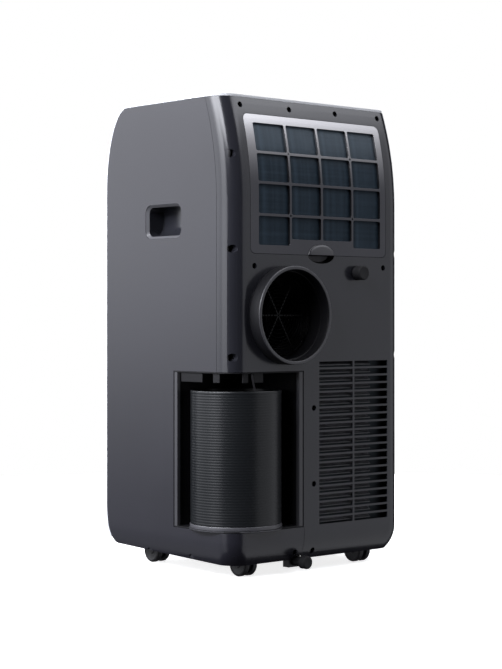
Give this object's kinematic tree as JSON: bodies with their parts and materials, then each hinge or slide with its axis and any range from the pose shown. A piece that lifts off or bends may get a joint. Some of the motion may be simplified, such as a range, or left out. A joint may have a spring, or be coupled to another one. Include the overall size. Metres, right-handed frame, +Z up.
{
  "type": "portable air conditioner",
  "caption": "Upright portable air conditioner on casters, with a rear filter panel, round exhaust collar, intake grille and a corner bay for its exhaust hose.",
  "frame": {"origin": "bottom centre of the bounding box, on the floor under the casters", "axes": "+Z up, +Y towards the rear face with the filter and exhaust, +X towards the side with the hose bay"},
  "size_m": [0.3856, 0.343, 0.7315],
  "materials": {
    "charcoal_plastic": "satin moulded, fine grain",
    "pale_plastic": "smooth satin gloss",
    "black_plastic": "fine matt",
    "filter_plastic": "satin moulded",
    "filter_mesh": "woven nylon mesh",
    "hose_plastic": "ribbed satin",
    "rubber": "soft matt",
    "caster_wheel": "satin with scuffs",
    "fin_aluminium": "fine fins",
    "copper_tube": "drawn copper",
    "painted_steel": "black enamel",
    "duct_foam": "moulded duct plastic",
    "panel_gloss": "gloss black"
  },
  "bodies": {
    "unit": {"side_panel_right": "charcoal_plastic", "side_panel_left": "charcoal_plastic", "rear_cover": "charcoal_plastic", "exhaust_collar": "charcoal_plastic", "handle_cup_right": "charcoal_plastic", "handle_cup_left": "charcoal_plastic", "front_shell": "pale_plastic", "outlet_frame": "pale_plastic", "bay_liner": "black_plastic", "exhaust_guard": "black_plastic", "drain_spout_upper": "black_plastic", "drain_spout_lower": "black_plastic", "compressor_mount_1": "rubber", "compressor_mount_2": "rubber", "compressor_mount_3": "rubber", "cord_gland": "rubber", "evaporator_coil": "fin_aluminium", "condenser_coil": "fin_aluminium", "suction_pipe": "copper_tube", "discharge_pipe": "copper_tube", "base_tray": "painted_steel", "compressor": "painted_steel", "accumulator": "painted_steel", "evaporator_motor": "painted_steel", "condenser_motor": "painted_steel", "evaporator_blower_housing": "duct_foam", "condenser_blower_housing": "duct_foam", "mid_deck": "duct_foam", "control_box": "duct_foam", "louver_motor": "duct_foam", "control_panel": "panel_gloss", "display_window": "panel_gloss"},
    "filter_panel": {"filter_frame": "filter_plastic", "filter_mesh": "filter_mesh"},
    "louver": {"louver_flap": "pale_plastic"},
    "vane_1": {"vane_1": "black_plastic"},
    "vane_2": {"vane_2": "black_plastic"},
    "vane_3": {"vane_3": "black_plastic"},
    "vane_4": {"vane_4": "black_plastic"},
    "button_1": {"button_1": "pale_plastic"},
    "button_2": {"button_2": "pale_plastic"},
    "button_3": {"button_3": "pale_plastic"},
    "button_4": {"button_4": "pale_plastic"},
    "evaporator_fan": {"evaporator_wheel": "black_plastic"},
    "condenser_fan": {"condenser_wheel": "black_plastic"},
    "upper_plug": {"drain_plug_upper": "rubber"},
    "lower_plug": {"drain_plug_lower": "rubber"},
    "hose": {"exhaust_hose": "hose_plastic", "hose_connector": "pale_plastic"},
    "clip": {"hose_clip": "painted_steel"},
    "caster_1": {"caster_yoke_1": "black_plastic"},
    "caster_2": {"caster_yoke_2": "black_plastic"},
    "caster_3": {"caster_yoke_3": "black_plastic"},
    "caster_4": {"caster_yoke_4": "black_plastic"},
    "wheels_1": {"caster_wheels_1": "caster_wheel"},
    "wheels_2": {"caster_wheels_2": "caster_wheel"},
    "wheels_3": {"caster_wheels_3": "caster_wheel"},
    "wheels_4": {"caster_wheels_4": "caster_wheel"}
  },
  "joints": [
    {"name": "filter_hinge", "type": "hinge", "parent": "unit", "child": "filter_panel", "pos_m": [-0.00075, 0.12966, 0.7], "axis": [1, 0, 0], "range_deg": [0, 70]},
    {"name": "louver_hinge", "type": "hinge", "parent": "unit", "child": "louver", "pos_m": [-0.00075, -0.0235, 0.7295], "axis": [-1, 0, 0], "range_deg": [0, 75]},
    {"name": "vane_1_swing", "type": "hinge", "parent": "unit", "child": "vane_1", "pos_m": [-0.07575, -0.0565, 0.7045], "axis": [0, 1, 0], "range_deg": [-25, 25]},
    {"name": "vane_2_swing", "type": "hinge", "parent": "unit", "child": "vane_2", "pos_m": [-0.02575, -0.0565, 0.7045], "axis": [0, 1, 0], "range_deg": [-25, 25]},
    {"name": "vane_3_swing", "type": "hinge", "parent": "unit", "child": "vane_3", "pos_m": [0.02425, -0.0565, 0.7045], "axis": [0, 1, 0], "range_deg": [-25, 25]},
    {"name": "vane_4_swing", "type": "hinge", "parent": "unit", "child": "vane_4", "pos_m": [0.07425, -0.0565, 0.7045], "axis": [0, 1, 0], "range_deg": [-25, 25]},
    {"name": "button_1_press", "type": "slide", "parent": "unit", "child": "button_1", "axis": [0, 0, -1], "range_m": [0, 0.0012], "stiffness_N_per_m": 600},
    {"name": "button_2_press", "type": "slide", "parent": "unit", "child": "button_2", "axis": [0, 0, -1], "range_m": [0, 0.0012], "stiffness_N_per_m": 600},
    {"name": "button_3_press", "type": "slide", "parent": "unit", "child": "button_3", "axis": [0, 0, -1], "range_m": [0, 0.0012], "stiffness_N_per_m": 600},
    {"name": "button_4_press", "type": "slide", "parent": "unit", "child": "button_4", "axis": [0, 0, -1], "range_m": [0, 0.0012], "stiffness_N_per_m": 600},
    {"name": "evaporator_fan_spin", "type": "hinge", "parent": "unit", "child": "evaporator_fan", "pos_m": [-0.00075, 0.0085, 0.586], "axis": [0, 1, 0], "continuous": true},
    {"name": "condenser_fan_spin", "type": "hinge", "parent": "unit", "child": "condenser_fan", "pos_m": [-0.01075, 0.0385, 0.392], "axis": [0, 1, 0], "continuous": true},
    {"name": "upper_plug_pull", "type": "slide", "parent": "unit", "child": "upper_plug", "axis": [0, 1, 0], "range_m": [0, 0.02]},
    {"name": "lower_plug_pull", "type": "slide", "parent": "unit", "child": "lower_plug", "axis": [0, 1, 0], "range_m": [0, 0.02]},
    {"name": "hose_lift_out", "type": "slide", "parent": "unit", "child": "hose", "axis": [0.7071, 0.7071, 0], "range_m": [0, 0.18]},
    {"name": "clip_hinge", "type": "hinge", "parent": "unit", "child": "clip", "pos_m": [0.14125, 0.1475, 0.3071], "axis": [0, 1, 0], "range_deg": [0, 60]},
    {"name": "caster_1_swivel", "type": "hinge", "parent": "unit", "child": "caster_1", "pos_m": [0.12125, 0.0965, 0.04], "axis": [0, 0, 1], "continuous": true},
    {"name": "wheels_1_spin", "type": "hinge", "parent": "caster_1", "child": "wheels_1", "pos_m": [0.12125, 0.1055, 0.019], "axis": [1, 0, 0], "continuous": true},
    {"name": "caster_2_swivel", "type": "hinge", "parent": "unit", "child": "caster_2", "pos_m": [-0.12275, 0.0965, 0.04], "axis": [0, 0, 1], "continuous": true},
    {"name": "wheels_2_spin", "type": "hinge", "parent": "caster_2", "child": "wheels_2", "pos_m": [-0.12275, 0.1055, 0.019], "axis": [1, 0, 0], "continuous": true},
    {"name": "caster_3_swivel", "type": "hinge", "parent": "unit", "child": "caster_3", "pos_m": [0.12125, -0.1135, 0.04], "axis": [0, 0, 1], "continuous": true},
    {"name": "wheels_3_spin", "type": "hinge", "parent": "caster_3", "child": "wheels_3", "pos_m": [0.12125, -0.1045, 0.019], "axis": [1, 0, 0], "continuous": true},
    {"name": "caster_4_swivel", "type": "hinge", "parent": "unit", "child": "caster_4", "pos_m": [-0.12275, -0.1135, 0.04], "axis": [0, 0, 1], "continuous": true},
    {"name": "wheels_4_spin", "type": "hinge", "parent": "caster_4", "child": "wheels_4", "pos_m": [-0.12275, -0.1045, 0.019], "axis": [1, 0, 0], "continuous": true}
  ],
  "couplings": [
    {"joint": "vane_2_swing", "follows": "vane_1_swing", "ratio": 1},
    {"joint": "vane_3_swing", "follows": "vane_1_swing", "ratio": 1},
    {"joint": "vane_4_swing", "follows": "vane_1_swing", "ratio": 1}
  ]
}
